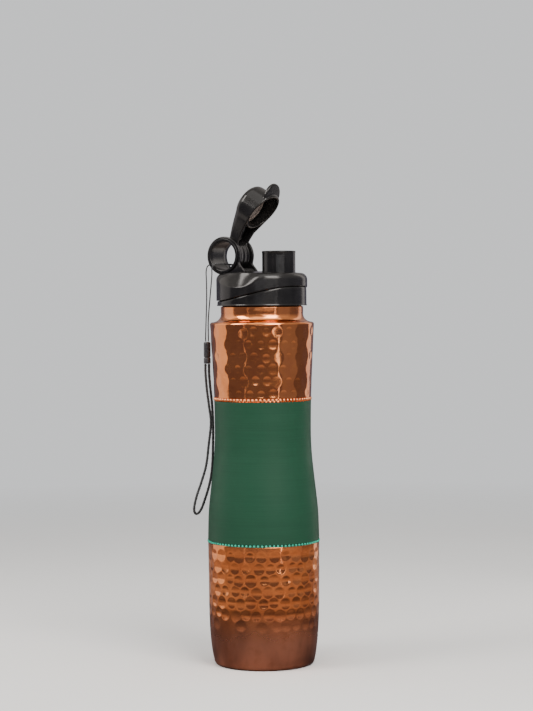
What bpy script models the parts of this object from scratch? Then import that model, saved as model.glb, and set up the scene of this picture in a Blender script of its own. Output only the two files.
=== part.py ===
"""Copper water bottle with a flip-top lid and a wrist lanyard.

The frame is +Z up with the origin at the centre of the base. +X points from the
bottle's axis to the drinking spout, and the lid's hinge is on the -X side.
Sizes below are millimetres, and every mesh is scaled to metres when it is made.
The lid is screwed home and the flip cap stands open.
"""

import math

import bmesh
import bpy
from mathutils import Matrix, Vector

MM = 0.001
GAP = 0.3                      # clearance kept between pieces that touch

# Facets round the big turned pieces and round the small ones
BODY_SEGMENTS = 32
ROUND_SEGMENTS = 28
LID_SEGMENTS = 48
CHEEK_SEGMENTS = 40
THREAD_SEGMENTS = 20           # facets of a screw thread in one turn

# Copper body: radius of the finished outside at each height
BODY_STATIONS = [(3.2, 33.9), (8.0, 34.9), (16.0, 35.9), (27.0, 36.7), (40.0, 37.1),
                 (56.0, 37.2), (80.0, 37.4), (96.0, 37.1), (104.0, 36.7), (112.0, 35.9),
                 (120.0, 35.0), (128.0, 34.1), (140.0, 32.9), (152.0, 32.3), (164.0, 32.3),
                 (176.0, 32.5), (193.0, 33.1), (210.0, 34.0), (227.6, 34.9)]
WALL = 0.7
FOOT_CORNER = 3.2
FOOT_INNER_RADIUS = 26.0
SHOULDER_HEIGHT = 229.2
SHOULDER_RIM_RADIUS = 33.2
BAND_LOW, BAND_HIGH = 82.4, 177.5
BAND_THICKNESS = 0.35
BAND_STATIONS = (92.0, 104.0, 116.0, 127.0, 138.0, 150.0, 162.0)
BEAD_HEIGHT = 0.45

# Neck and its screw thread
COLLAR_RADIUS = 27.6
NECK_RADIUS = 26.4
NECK_TOP = 250.0
NECK_BORE = 25.5
THREAD_PITCH = 4.0
THREAD_TURNS = 1.25
THREAD_START = 241.9

# Lid
LID_RADIUS = 30.5
LID_BOTTOM = 240.1
COVER_WALL = 1.0
EDGE_ROUND = 4.5
PLATE_EDGE_Z = 261.9
PLATE_CENTRE_Z = 263.2
SKIRT_RADIUS = 29.9
SCOOP_LOW_Z = 252.3            # side scoops: lower edge, curve's control point, upper edge
SCOOP_MIDDLE, SCOOP_TOP = (28.2, 255.6), (24.8, 262.0)
SEALING_PLATE = (251.8, 254.2)  # underside and top of the plate over the neck
SPOUT_X = 13.3
SPOUT_RADIUS = 11.1
SPOUT_BORE = 9.6
SPOUT_TOP = 276.5

# Hinge barrel, which is also the carry hole, and the flip cap
HINGE = Vector((-24.3, 0.0, 273.8))
CHEEK_RADIUS = 12.9
BARREL_RADIUS = 11.7
BARREL_BORE = 10.8
SLEEVE_RADIUS = 10.5
SLEEVE_BORE = 9.7
SLEEVE_FLANGE = 11.6
CHEEK_IN, CHEEK_OUT = 7.5, 9.5
FLIP_OPEN_ANGLE = 60.0         # degrees that the flip cap is open at rest
CUP_RADIUS = 13.8
CUP_BORE = 12.4
CAP_CEILING = 278.8
CAP_ROUND = 4.5
ARM_BACK, ARM_HALF_WIDTH = -14.9, 7.1
ARM_LOW_Z = 269.6
RIM_CENTRE_Z, RIM_SLANT = 265.6, 13.0
CAP_TOP_LINE = [(-15.0, 277.0), (-9.8, 278.1), (-1.6, 279.5), (6.0, 280.1), (11.0, 280.3),
                (30.0, 280.3)]
TAB_RADIUS, TAB_FLARE = 8.8, 12.0

# Lanyard
STRING_DIAMETER = 1.0
WRIST_DIAMETER = 2.1
FERRULE_RADIUS = 2.35
FERRULE_LOW, FERRULE_HIGH = 201.3, 216.0
FERRULE_PLACE = Vector((-36.0, -12.3))
STRAND_SPREAD = 1.2            # each wrist strand's distance from the ferrule's axis
ACROSS = Vector((0.86, 0.51))  # horizontal direction in which the strands lie side by side


def clear_scene():
    for item in list(bpy.data.objects):
        bpy.data.objects.remove(item)


def make_material(name, colour, roughness, metallic):
    material = bpy.data.materials.new(name)
    material.use_nodes = True
    shader = material.node_tree.nodes["Principled BSDF"]
    shader.inputs["Base Color"].default_value = (*colour, 1.0)
    shader.inputs["Roughness"].default_value = roughness
    shader.inputs["Metallic"].default_value = metallic
    return material


def add_object(name, bm, material=None):
    """Turn a bmesh in millimetres into an object in metres."""
    bmesh.ops.recalc_face_normals(bm, faces=bm.faces)
    bmesh.ops.scale(bm, vec=(MM, MM, MM), verts=bm.verts)
    mesh = bpy.data.meshes.new(name)
    bm.to_mesh(mesh)
    bm.free()
    item = bpy.data.objects.new(name, mesh)
    bpy.context.scene.collection.objects.link(item)
    if material:
        mesh.materials.append(material)
    mesh.shade_smooth()
    mesh.set_sharp_from_angle(angle=math.radians(32))
    return item


def combine(target, tool, operation):
    """Apply one exact Boolean to the target and remove the tool."""
    modifier = target.modifiers.new(operation, "BOOLEAN")
    modifier.operation = operation
    modifier.solver = "EXACT"
    modifier.object = tool
    bpy.context.view_layer.update()
    graph = bpy.context.evaluated_depsgraph_get()
    mesh = bpy.data.meshes.new_from_object(target.evaluated_get(graph))
    target.modifiers.clear()
    target.data = mesh
    bpy.data.objects.remove(tool)
    mesh.set_sharp_from_angle(angle=math.radians(32))


def turned(outline, segments, closed=True):
    """Spin an outline of (radius, height) points once round Z."""
    bm = bmesh.new()
    verts = [bm.verts.new((radius, 0.0, height)) for radius, height in outline]
    edges = [bm.edges.new(pair) for pair in zip(verts, verts[1:])]
    if closed:
        edges.append(bm.edges.new((verts[-1], verts[0])))
    bmesh.ops.spin(bm, geom=verts + edges, cent=(0, 0, 0), axis=(0, 0, 1),
                   angle=math.tau, steps=segments, use_merge=True)
    bmesh.ops.remove_doubles(bm, verts=bm.verts, dist=0.0005)
    return bm


def disc_solid(radius, low, high, segments, x=0.0):
    """A plain upright cylinder, used as a cutter or as a core."""
    bm = bmesh.new()
    bmesh.ops.create_cone(bm, cap_ends=True, segments=segments, radius1=radius,
                          radius2=radius, depth=high - low)
    bmesh.ops.translate(bm, vec=(x, 0, (low + high) / 2), verts=bm.verts)
    return bm


def lay_along_y(bm):
    """Turn a shape made round Z so that it lies round the hinge axis."""
    bmesh.ops.rotate(bm, cent=(0, 0, 0), matrix=Matrix.Rotation(math.radians(90), 3, "X"),
                     verts=bm.verts)
    bmesh.ops.translate(bm, vec=HINGE, verts=bm.verts)
    return bm


def prism(points, low, high, axis):
    """Extrude an outline: (x, z) points along Y, or (x, y) points along Z."""
    bm = bmesh.new()
    if axis == "Y":
        verts = [bm.verts.new((a, low, b)) for a, b in points]
        travel = (0, high - low, 0)
    else:
        verts = [bm.verts.new((a, b, low)) for a, b in points]
        travel = (0, 0, high - low)
    face = bm.faces.new(verts)
    pushed = bmesh.ops.extrude_face_region(bm, geom=[face])["geom"]
    moved = [item for item in pushed if isinstance(item, bmesh.types.BMVert)]
    bmesh.ops.translate(bm, vec=travel, verts=moved)
    return bm


def arc(cx, cy, radius, start, end, steps):
    """Points on an arc, angles in degrees."""
    angles = [math.radians(start + (end - start) * i / steps) for i in range(steps + 1)]
    return [(cx + radius * math.cos(a), cy + radius * math.sin(a)) for a in angles]


def smooth_step(value, start, end):
    t = min(1.0, max(0.0, (value - start) / (end - start)))
    return t * t * (3 - 2 * t)


def through_points(points, t):
    """Catmull-Rom curve through a list of vectors, t from 0 to len(points) - 1."""
    i = min(int(t), len(points) - 2)
    f = t - i
    b, c = points[i], points[i + 1]
    a = points[i - 1] if i else b * 2 - c
    d = points[i + 2] if i + 2 < len(points) else c * 2 - b
    return (b * 2 + (c - a) * f + (a * 2 - b * 5 + c * 4 - d) * f ** 2
            + (b * 3 - a - c * 3 + d) * f ** 3) * 0.5


def body_radius(height):
    """Finished outside radius of the body at a height."""
    stations = [Vector((z, r)) for z, r in BODY_STATIONS]
    low, high = 0.0, len(stations) - 1.0
    for _ in range(30):
        middle = (low + high) / 2
        if through_points(stations, middle).x < height:
            low = middle
        else:
            high = middle
    return through_points(stations, low).y


# ---------------------------------------------------------------- copper body

def shell_outline():
    """Outside of the shell from the foot's inner edge up, then the inside back down."""
    foot = FOOT_CORNER
    base_radius = body_radius(foot)
    outside = [(FOOT_INNER_RADIUS, 0.0)]
    outside += arc(base_radius - foot, foot, foot, -90, 0, 5)
    under_band = BAND_THICKNESS + GAP
    low_step, high_step = BAND_LOW - 0.9, BAND_HIGH - 0.6
    plain_low = [11.0, 22.0, 38.0, 56.0, low_step]
    recess = [low_step + 0.5, *BAND_STATIONS, high_step - 0.5]
    outside += [(body_radius(z), z) for z in plain_low]
    outside += [(body_radius(z) - under_band, z) for z in recess]
    bead = [(high_step, 0.0), (BAND_HIGH + 0.1, BEAD_HEIGHT), (BAND_HIGH + 1.0, BEAD_HEIGHT),
            (BAND_HIGH + 1.8, 0.0)]
    outside += [(body_radius(z) + proud, z) for z, proud in bead]
    outside += [(body_radius(z), z) for z in (189.0, 202.0, 215.0)]
    top_radius = body_radius(227.6)
    outside += arc(top_radius - 1.6, 227.6, 1.6, 0, 90, 3)
    outside.append((SHOULDER_RIM_RADIUS - 1.0, SHOULDER_HEIGHT))
    inside = [(SHOULDER_RIM_RADIUS - 1.0, SHOULDER_HEIGHT - WALL),
              (top_radius - 1.6, SHOULDER_HEIGHT - WALL),
              (top_radius - WALL - 0.25, 227.4)]
    deep = under_band + WALL
    inside += [(body_radius(z) - deep, z) for z in (176.0, 150.0, 127.0, 104.0, 80.0)]
    inside += [(body_radius(z) - WALL - 0.2, z) for z in (56.0, 30.0, 12.0)]
    inside += [(base_radius - WALL, foot), (base_radius - foot + 1.2, WALL + 0.4),
               (base_radius - foot, WALL), (FOOT_INNER_RADIUS, WALL)]
    return outside + inside


def band_outline():
    """Lacquer sleeve with a raised bead at its lower edge."""
    low = BAND_LOW
    outer = [(body_radius(low - 0.3) + 0.05, low - 0.3),
             (body_radius(low) + BEAD_HEIGHT, low + 0.4),
             (body_radius(low) + BEAD_HEIGHT, low + 1.2),
             (body_radius(low + 2), low + 1.9)]
    outer += [(body_radius(z), z) for z in BAND_STATIONS]
    outer.append((body_radius(BAND_HIGH), BAND_HIGH - 1.5))
    inner = [(body_radius(BAND_HIGH) - BAND_THICKNESS, BAND_HIGH - 1.5)]
    inner += [(body_radius(z) - BAND_THICKNESS, z) for z in reversed(BAND_STATIONS)]
    inner.append((body_radius(low) - BAND_THICKNESS, low - 0.1))
    return outer + inner


def thread_ridge(root_radius, tip_radius, start):
    """A helical ridge, sunk slightly into the wall that it belongs to."""
    sunk = root_radius - math.copysign(0.4, tip_radius - root_radius)
    section = [(sunk, -0.85), (root_radius, -0.8), (tip_radius, -0.4),
               (tip_radius, 0.4), (root_radius, 0.8), (sunk, 0.85)]
    bm = bmesh.new()
    count = int(THREAD_SEGMENTS * THREAD_TURNS)
    rings = []
    for i in range(count + 1):
        turn = THREAD_TURNS * i / count
        angle = math.tau * turn
        fade = min(1.0, 6 * i / count, 6 * (count - i) / count)
        ring = []
        for radius, rise in section:
            faded = sunk + (radius - sunk) * (0.35 + 0.65 * fade)
            height = start + THREAD_PITCH * turn + rise
            ring.append(bm.verts.new((faded * math.cos(angle), faded * math.sin(angle), height)))
        rings.append(ring)
    for one, two in zip(rings, rings[1:]):
        for k in range(len(section)):
            n = (k + 1) % len(section)
            bm.faces.new((one[k], one[n], two[n], two[k]))
    bm.faces.new(rings[0])
    bm.faces.new(rings[-1])
    return bm


def make_body(copper, lacquer):
    add_object("bottle_shell", turned(shell_outline(), BODY_SEGMENTS), copper)
    disc = [(0.0, 1.0), (30.2, 1.0), (31.2, 1.9), (32.2, 3.4), (32.2, 4.2), (31.4, 4.2),
            (30.4, 2.5), (29.6, 1.8), (0.0, 1.8)]
    add_object("base_disc", turned(disc, ROUND_SEGMENTS, closed=False), copper)
    add_object("lacquer_band", turned(band_outline(), BODY_SEGMENTS), lacquer)

    rim = SHOULDER_RIM_RADIUS
    under = SHOULDER_HEIGHT - WALL - GAP
    collar = [(rim - 0.2, under - WALL), (rim - 0.2, under), (rim - 1.3, under),
              (rim - 1.3, SHOULDER_HEIGHT)]
    collar += arc(rim - 0.2, 234.9, 5.6, -108, -180, 5)
    collar += [(COLLAR_RADIUS, 239.4), (NECK_RADIUS, 239.9), (NECK_RADIUS, NECK_TOP - 0.5),
               (NECK_RADIUS - 0.4, NECK_TOP), (NECK_BORE, NECK_TOP), (NECK_BORE, 239.0),
               (COLLAR_RADIUS - 1.0, 238.0), (COLLAR_RADIUS - 1.0, 234.9)]
    collar += [(28.4, 230.8), (30.2, under - WALL)]
    neck = add_object("neck_collar", turned(collar, BODY_SEGMENTS), copper)
    ridge = thread_ridge(NECK_RADIUS, NECK_RADIUS + 1.1, THREAD_START)
    combine(neck, add_object("thread", ridge), "UNION")


# ------------------------------------------------------------------ lid pieces

def step_height(angle):
    """Height of the wavy line between the cover and the skirt, by angle from +X."""
    return 243.5 + 9.5 * (1 - smooth_step(abs(angle), math.radians(15), math.radians(132)))


def scoop_amount(angle):
    """1 in the middle of a side scoop, 0 outside it."""
    size = abs(angle)
    rise = smooth_step(size, math.radians(55), math.radians(88))
    return rise * (1 - smooth_step(size, math.radians(96), math.radians(150)))


def cover_station(angle):
    """(radius, height) points of the cover's outside at one angle, bottom to centre."""
    amount = scoop_amount(angle)
    corner_z = PLATE_EDGE_Z - EDGE_ROUND
    points = [(LID_RADIUS, step_height(angle) + 0.15)]
    steps = 5
    for i in range(steps + 1):
        t = i / steps
        turn = math.radians(90 * t)
        round_r = LID_RADIUS - EDGE_ROUND + EDGE_ROUND * math.cos(turn)
        round_z = corner_z + EDGE_ROUND * math.sin(turn)
        low, middle, high = (1 - t) ** 2, 2 * t * (1 - t), t ** 2
        scoop_r = low * LID_RADIUS + middle * SCOOP_MIDDLE[0] + high * SCOOP_TOP[0]
        scoop_z = low * SCOOP_LOW_Z + middle * SCOOP_MIDDLE[1] + high * SCOOP_TOP[1]
        points.append((round_r + (scoop_r - round_r) * amount,
                       round_z + (scoop_z - round_z) * amount))
    for radius in (17.0, 6.0):
        points.append((radius, PLATE_CENTRE_Z - 1.3 * (radius / 26) ** 2))
    return points


def lofted_by_angle(station, segments, cap_last):
    """Skin a family of (radius, height) stations that change with the angle."""
    bm = bmesh.new()
    columns = []
    for i in range(segments):
        angle = math.tau * i / segments
        signed = (angle + math.pi) % math.tau - math.pi
        columns.append([bm.verts.new((r * math.cos(angle), r * math.sin(angle), z))
                        for r, z in station(signed)])
    for i in range(segments):
        one, two = columns[i], columns[(i + 1) % segments]
        rows = len(one)
        for k in range(rows - 1):
            bm.faces.new((one[k], two[k], two[k + 1], one[k + 1]))
        if not cap_last:
            bm.faces.new((one[-1], two[-1], two[0], one[0]))
    if cap_last:
        bm.faces.new([column[-1] for column in columns])
    return bm


def cheek(side):
    """One end ring of the hinge with the web that joins it to the lid's top."""
    low, high = sorted((side * CHEEK_IN, side * CHEEK_OUT))
    ring = add_object("cheek", lay_along_y(disc_solid(CHEEK_RADIUS, -high, -low, CHEEK_SEGMENTS)))
    web = [(-33.4, 266.6), (-30.2, 263.2), (-26.8, 261.2), (-20.0, 261.6), (-9.4, 262.2),
           (-7.0, 262.9), (-10.0, 265.2), (-12.2, 268.2), (-13.2, 271.0), (-32.6, 271.0)]
    combine(ring, add_object("web", prism(web, low, high, "Y")), "UNION")
    return ring


def make_cover(plastic):
    cover = add_object("lid_cover", lofted_by_angle(cover_station, LID_SEGMENTS, True), plastic)
    skin = cover.modifiers.new("Wall", "SOLIDIFY")
    skin.thickness = COVER_WALL * MM
    skin.offset = -1.0
    skin.use_even_offset = True
    for side in (-1, 1):
        combine(cover, cheek(side), "UNION")
    stop = [(-15.6, 261.9), (-8.2, 262.4), (-9.6, 264.4), (-11.4, 265.4), (-13.4, 264.0)]
    combine(cover, add_object("stop", prism(stop, -4.5, 4.5, "Y")), "UNION")
    saddle = lay_along_y(disc_solid(BARREL_RADIUS + 0.35, -7.45, 7.45, BODY_SEGMENTS))
    combine(cover, add_object("saddle", saddle), "DIFFERENCE")
    combine(cover, add_object("bore", lay_along_y(disc_solid(BARREL_BORE, -14, 14, BODY_SEGMENTS))),
            "DIFFERENCE")
    hole = disc_solid(SPOUT_RADIUS + GAP + 0.1, 255, 270, ROUND_SEGMENTS, SPOUT_X)
    combine(cover, add_object("hole", hole), "DIFFERENCE")
    return cover


def skirt_station(angle):
    """Closed outline of the threaded cap's wall and its sealing plate's edge."""
    step = step_height(angle) - 0.15
    plate_low, plate_high = SEALING_PLATE
    return [(3.0, plate_low), (NECK_RADIUS + 0.6, plate_low), (NECK_RADIUS + 1.5, 250.4),
            (NECK_RADIUS + 1.5, LID_BOTTOM + 0.6), (NECK_RADIUS + 1.9, LID_BOTTOM),
            (SKIRT_RADIUS + 0.3, LID_BOTTOM), (SKIRT_RADIUS, LID_BOTTOM + 1.0),
            (SKIRT_RADIUS, step), (LID_RADIUS - COVER_WALL - GAP, step + 0.05),
            (LID_RADIUS - COVER_WALL - GAP, max(step + 0.4, 250.2)),
            (27.2, 252.6 + max(0.0, step - 251.4)), (27.0, plate_high), (3.0, plate_high)]


def make_threaded_cap(plastic):
    cap = add_object("threaded_cap", lofted_by_angle(skirt_station, LID_SEGMENTS, False), plastic)
    combine(cap, add_object("core", disc_solid(3.4, *SEALING_PLATE, 16)), "UNION")
    combine(cap, add_object("hole", disc_solid(SPOUT_BORE, 250, 256, ROUND_SEGMENTS, SPOUT_X)),
            "DIFFERENCE")
    inner = NECK_RADIUS + 1.5
    ridge = thread_ridge(inner, inner - 1.0, THREAD_START + THREAD_PITCH / 2)
    combine(cap, add_object("thread", ridge), "UNION")
    return cap


def make_spout(plastic, silicone):
    spout = [(SPOUT_BORE, 255.6), (12.6, 255.6), (12.6, 256.8), (SPOUT_RADIUS, 257.2),
             (SPOUT_RADIUS, SPOUT_TOP - 0.5), (SPOUT_RADIUS - 0.35, SPOUT_TOP),
             (SPOUT_BORE + 0.3, SPOUT_TOP), (SPOUT_BORE, SPOUT_TOP - 0.4)]
    tube = turned(spout, ROUND_SEGMENTS)
    bmesh.ops.translate(tube, vec=(SPOUT_X, 0, 0), verts=tube.verts)
    ring = turned([(SPOUT_BORE + 0.3, 254.5), (12.3, 254.5), (12.3, 255.3),
                   (SPOUT_BORE + 0.3, 255.3)], ROUND_SEGMENTS)
    bmesh.ops.translate(ring, vec=(SPOUT_X, 0, 0), verts=ring.verts)
    gasket = turned([(24.7, 250.3), (26.6, 250.3), (26.6, 251.5), (24.7, 251.5)], ROUND_SEGMENTS)
    pieces = [add_object("drinking_spout", tube, plastic),
              add_object("spout_gasket", ring, silicone)]
    return pieces, add_object("neck_gasket", gasket, silicone)


def make_hinge(plastic):
    """Hollow hinge pin, flanged at one end, and the snap ring on its other end."""
    groove = SLEEVE_RADIUS - 0.4
    sleeve = [(SLEEVE_BORE, -10.9), (SLEEVE_RADIUS, -10.9), (SLEEVE_RADIUS, -10.6),
              (groove, -10.6), (groove, -9.7), (SLEEVE_RADIUS, -9.7), (SLEEVE_RADIUS, 9.8),
              (SLEEVE_FLANGE, 9.8), (SLEEVE_FLANGE, 10.2), (SLEEVE_FLANGE - 0.3, 10.5),
              (SLEEVE_BORE + 0.2, 10.5), (SLEEVE_BORE, 10.3)]
    ring = [(SLEEVE_RADIUS - 0.1, -10.3), (SLEEVE_FLANGE, -10.3), (SLEEVE_FLANGE, -9.8),
            (SLEEVE_RADIUS - 0.1, -9.8)]
    return [add_object("hinge_sleeve", lay_along_y(turned(sleeve, ROUND_SEGMENTS)), plastic),
            add_object("sleeve_snap_ring", lay_along_y(turned(ring, ROUND_SEGMENTS)), plastic)]


# ------------------------------------------------- flip cap, drawn in its closed place

def cap_top(x):
    """Height of the arm's and cup's upper line."""
    for (x1, z1), (x2, z2) in zip(CAP_TOP_LINE, CAP_TOP_LINE[1:]):
        if x <= x2:
            return z1 + (z2 - z1) * (x - x1) / (x2 - x1)
    return CAP_TOP_LINE[-1][1]


def cap_bottom(x):
    """Lower edge: level under the arm, slanted round the cup's rim."""
    rim = RIM_CENTRE_Z - math.tan(math.radians(RIM_SLANT)) * (x - SPOUT_X)
    return min(ARM_LOW_Z, rim)


def cap_half_plan(inset, back):
    """One side of the top view, from the narrow root at the barrel to the cup's front."""
    root = ARM_HALF_WIDTH - inset
    joined = arc(SPOUT_X, 0.0, CUP_RADIUS - inset, 112, 0, 11)
    join_x, join_y = joined[0]
    start_x = -9.0
    half = [(back, root), (start_x, root)]
    for i in range(1, 4):
        x = start_x + (join_x - start_x) * i / 4
        half.append((x, root + (join_y - root) * smooth_step(x, start_x - 4.0, join_x + 4.0)))
    return half + joined


def hooded_solid(inset, drop, corner, bottom, back):
    """Upright walls on the top view's outline, rounded over into the upper surface.

    The rounding is half as large at the barrel as round the cup.
    """
    bm = bmesh.new()
    base = cap_half_plan(inset, back)
    corners = [corner * (0.5 + 0.5 * smooth_step(x, -9.0, 6.0)) for x, _ in base]
    quarter = [math.radians(22.5 * k) for k in range(1, 5)]
    levels = [(0.0, None), (0.0, 0.0)] + [(1 - math.cos(a), math.sin(a)) for a in quarter]
    rings = []
    for narrow, rise in levels:
        half = [cap_half_plan(inset + size * narrow, back)[k] for k, size in enumerate(corners)]
        heights = [bottom(x) if rise is None else cap_top(x) - drop - size * (1 - rise)
                   for (x, _), size in zip(half, corners)]
        places = [(x, y, z) for (x, y), z in zip(half, heights)]
        loop = places + [(x, -y, z) for x, y, z in places[-2::-1]]
        rings.append([bm.verts.new(place) for place in loop])
    for one, two in zip(rings, rings[1:]):
        for k in range(len(one)):
            n = (k + 1) % len(one)
            bm.faces.new((one[k], one[n], two[n], two[k]))
    for ring in (rings[0], rings[-1]):
        front = len(ring) // 2
        for k in range(front):
            strip = [ring[k], ring[k + 1], ring[-k - 2], ring[-k - 1]]
            bm.faces.new(list(dict.fromkeys(strip)))
    return bm


def channel_bottom(_):
    """The arm's channel is open below."""
    return 250.0


def make_flip_cap(plastic, silicone):
    cap = add_object("flip_cap", hooded_solid(0.0, 0.0, CAP_ROUND, cap_bottom, ARM_BACK))
    channel = add_object("channel", hooded_solid(1.5, 1.6, 2.5, channel_bottom, ARM_BACK - 2.0))
    cup = disc_solid(CUP_RADIUS, 240, 300, BODY_SEGMENTS, SPOUT_X)
    combine(channel, add_object("cup", cup), "DIFFERENCE")
    combine(cap, channel, "DIFFERENCE")
    tab = prism(arc(0.0, 0.0, TAB_RADIUS, -90, 90, 14) + [(-4.5, TAB_RADIUS - 0.4),
                                                         (-4.5, 0.4 - TAB_RADIUS)], -1.0, 1.0, "Z")
    flare = Matrix.Rotation(-math.radians(TAB_FLARE), 3, "Y")
    bmesh.ops.rotate(tab, cent=(0, 0, 0), matrix=flare, verts=tab.verts)
    bmesh.ops.translate(tab, vec=(SPOUT_X + CUP_BORE, 0, 265.3), verts=tab.verts)
    combine(cap, add_object("tab", tab), "UNION")
    corner = 2.2
    outline = [(0.0, 250.0), (CUP_BORE, 250.0)]
    outline += arc(CUP_BORE - corner, CAP_CEILING - corner, corner, 0, 90, 4)
    outline.append((0.0, CAP_CEILING))
    hollow = turned(outline, BODY_SEGMENTS, closed=False)
    bmesh.ops.translate(hollow, vec=(SPOUT_X, 0, 0), verts=hollow.verts)
    combine(cap, add_object("hollow", hollow), "DIFFERENCE")

    barrel = lay_along_y(disc_solid(BARREL_RADIUS, -7.1, 7.1, BODY_SEGMENTS))
    combine(cap, add_object("barrel", barrel), "UNION")
    bore = lay_along_y(disc_solid(BARREL_BORE, -9, 9, BODY_SEGMENTS))
    combine(cap, add_object("bore", bore), "DIFFERENCE")
    cap.data.materials.clear()
    cap.data.materials.append(plastic)

    low = SPOUT_TOP + GAP
    seal = turned([(0.0, low), (8.1, low), (8.1, low - 2.6), (9.1, low - 2.6), (9.2, low),
                   (11.6, low), (11.6, low + 0.7), (5.4, low + 0.7),
                   (5.4, CAP_CEILING - GAP), (0.0, CAP_CEILING - GAP)],
                  ROUND_SEGMENTS, closed=False)
    bmesh.ops.translate(seal, vec=(SPOUT_X, 0, 0), verts=seal.verts)
    return [cap, add_object("spout_seal", seal, silicone)]


# ------------------------------------------------------------------------ lanyard

def resample(route, spacing):
    """Evenly spaced points on the smooth curve through a route."""
    fine = [through_points(route, i / 24) for i in range(24 * (len(route) - 1) + 1)]
    lengths = [0.0]
    for one, two in zip(fine, fine[1:]):
        lengths.append(lengths[-1] + (two - one).length)
    count = max(2, round(lengths[-1] / spacing))
    points, k = [], 0
    for i in range(count + 1):
        target = lengths[-1] * i / count
        while k < len(fine) - 2 and lengths[k + 1] < target:
            k += 1
        part = (target - lengths[k]) / max(lengths[k + 1] - lengths[k], 1e-9)
        points.append(fine[k].lerp(fine[k + 1], part))
    return points


def cord_object(name, route, diameter, spacing, material):
    points = resample([Vector(point) for point in route], spacing)
    curve = bpy.data.curves.new(name, "CURVE")
    curve.dimensions = "3D"
    curve.bevel_depth = diameter / 2 * MM
    curve.bevel_resolution = 2
    curve.use_fill_caps = True
    spline = curve.splines.new("POLY")
    spline.points.add(len(points) - 1)
    for place, point in zip(spline.points, points):
        place.co = (*(point * MM), 1.0)
    curve.materials.append(material)
    item = bpy.data.objects.new(name, curve)
    bpy.context.scene.collection.objects.link(item)
    return item


def string_route():
    """Up from the ferrule, through the barrel, back along its outside and down."""
    x, y = FERRULE_PLACE
    top = FERRULE_HIGH + GAP
    return [(x + 0.8, y + 0.4, top), (x + 0.8, y + 0.4, top + 4), (x + 0.9, y + 0.4, 231),
            (x + 2.6, y + 0.3, 247), (x + 4.4, y - 0.3, 260), (-31.2, -13.0, 265.6),
            (-30.3, -12.3, 267.8), (-30.0, -9.5, 268.4), (-30.0, 0.0, 268.4),
            (-30.0, 8.5, 268.4), (-30.4, 11.6, 268.3), (-32.2, 13.1, 268.0),
            (-34.9, 12.8, 267.8), (-36.6, 10.2, 268.0), (-36.9, 6.0, 268.2),
            (-36.9, -3.0, 268.2), (-36.8, -9.0, 267.2), (-36.4, -12.0, 263.6),
            (-35.6, -13.0, 256.0), (-35.6, -13.0, 244.0), (x - 0.3, y - 0.5, 231),
            (x - 0.8, y - 0.4, top + 4), (x - 0.8, y - 0.4, top)]


def wrist_route():
    """Down from the ferrule, round the bottom of the loop and back up beside itself."""
    x, y = FERRULE_PLACE
    low = FERRULE_LOW - GAP
    a, b = STRAND_SPREAD * ACROSS.x, STRAND_SPREAD * ACROSS.y
    return [(x - a, y - b, low), (x - a, y - b, low - 6), (-36.1, -12.9, 184),
            (-34.7, -12.6, 173), (-33.4, -12.4, 161.5), (-34.6, -13.4, 147),
            (-36.0, -14.6, 133), (-38.5, -16.6, 122), (-41.4, -18.4, 112),
            (-43.2, -18.9, 104), (-43.8, -16.7, 100.2), (-43.5, -13.4, 99.9),
            (-42.6, -10.5, 103), (-41.0, -8.8, 109), (-38.9, -7.6, 116.5),
            (-37.1, -6.9, 125), (-36.0, -6.7, 135), (-35.4, -6.8, 148),
            (-34.9, -7.4, 161), (-34.7, -8.8, 174), (-34.9, -10.6, 186),
            (x + a, y + b, low - 6), (x + a, y + b, low)]


def make_lanyard(cord, gunmetal):
    radius = FERRULE_RADIUS
    low, high = FERRULE_LOW, FERRULE_HIGH
    outline = [(0.0, low), (radius - 0.25, low), (radius, low + 0.4), (radius, low + 3.6),
               (radius - 0.3, low + 3.9), (radius - 0.3, low + 4.5), (radius, low + 4.8),
               (radius, high - 0.9), (radius - 0.7, high), (0.0, high)]
    ferrule = turned(outline, 16, closed=False)
    bmesh.ops.translate(ferrule, vec=(*FERRULE_PLACE, 0), verts=ferrule.verts)
    return [add_object("strap_ferrule", ferrule, gunmetal),
            cord_object("hitch_string", string_route(), STRING_DIAMETER, 2.6, cord),
            cord_object("wrist_cord", wrist_route(), WRIST_DIAMETER, 4.6, cord)]


def empty(name, location, parent=None):
    item = bpy.data.objects.new(name, None)
    bpy.context.scene.collection.objects.link(item)
    item.location = location
    item.parent = parent
    return item


def main():
    clear_scene()
    copper = make_material("hammered_copper", (0.72, 0.33, 0.17), 0.28, 1.0)
    lacquer = make_material("green_lacquer", (0.05, 0.16, 0.10), 0.5, 0.0)
    plastic = make_material("black_plastic", (0.015, 0.014, 0.014), 0.25, 0.0)
    silicone = make_material("black_silicone", (0.03, 0.03, 0.03), 0.6, 0.0)
    cord = make_material("braided_cord", (0.01, 0.01, 0.012), 0.8, 0.0)
    gunmetal = make_material("dark_ferrule", (0.03, 0.03, 0.03), 0.3, 0.0)

    make_body(copper, lacquer)

    rise = empty("lid_rise_axis", (0, 0, 0))
    turn = empty("lid_turn_axis", (0, 0, 0), rise)
    spout_pieces, gasket = make_spout(plastic, silicone)
    gasket.parent = rise
    turning = [make_cover(plastic), make_threaded_cap(plastic)] + spout_pieces
    turning += make_hinge(plastic) + make_lanyard(cord, gunmetal)
    for piece in turning:
        piece.parent = turn

    flip = empty("flip_axis", HINGE * MM, turn)
    flip.rotation_euler = (0.0, -math.radians(FLIP_OPEN_ANGLE), 0.0)
    for piece in make_flip_cap(plastic, silicone):
        piece.location = -HINGE * MM
        piece.parent = flip


main()
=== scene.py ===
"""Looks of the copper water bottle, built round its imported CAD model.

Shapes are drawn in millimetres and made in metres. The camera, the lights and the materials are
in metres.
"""

import math

import bmesh
import bpy
import numpy as np
from mathutils import Matrix, Vector


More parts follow.
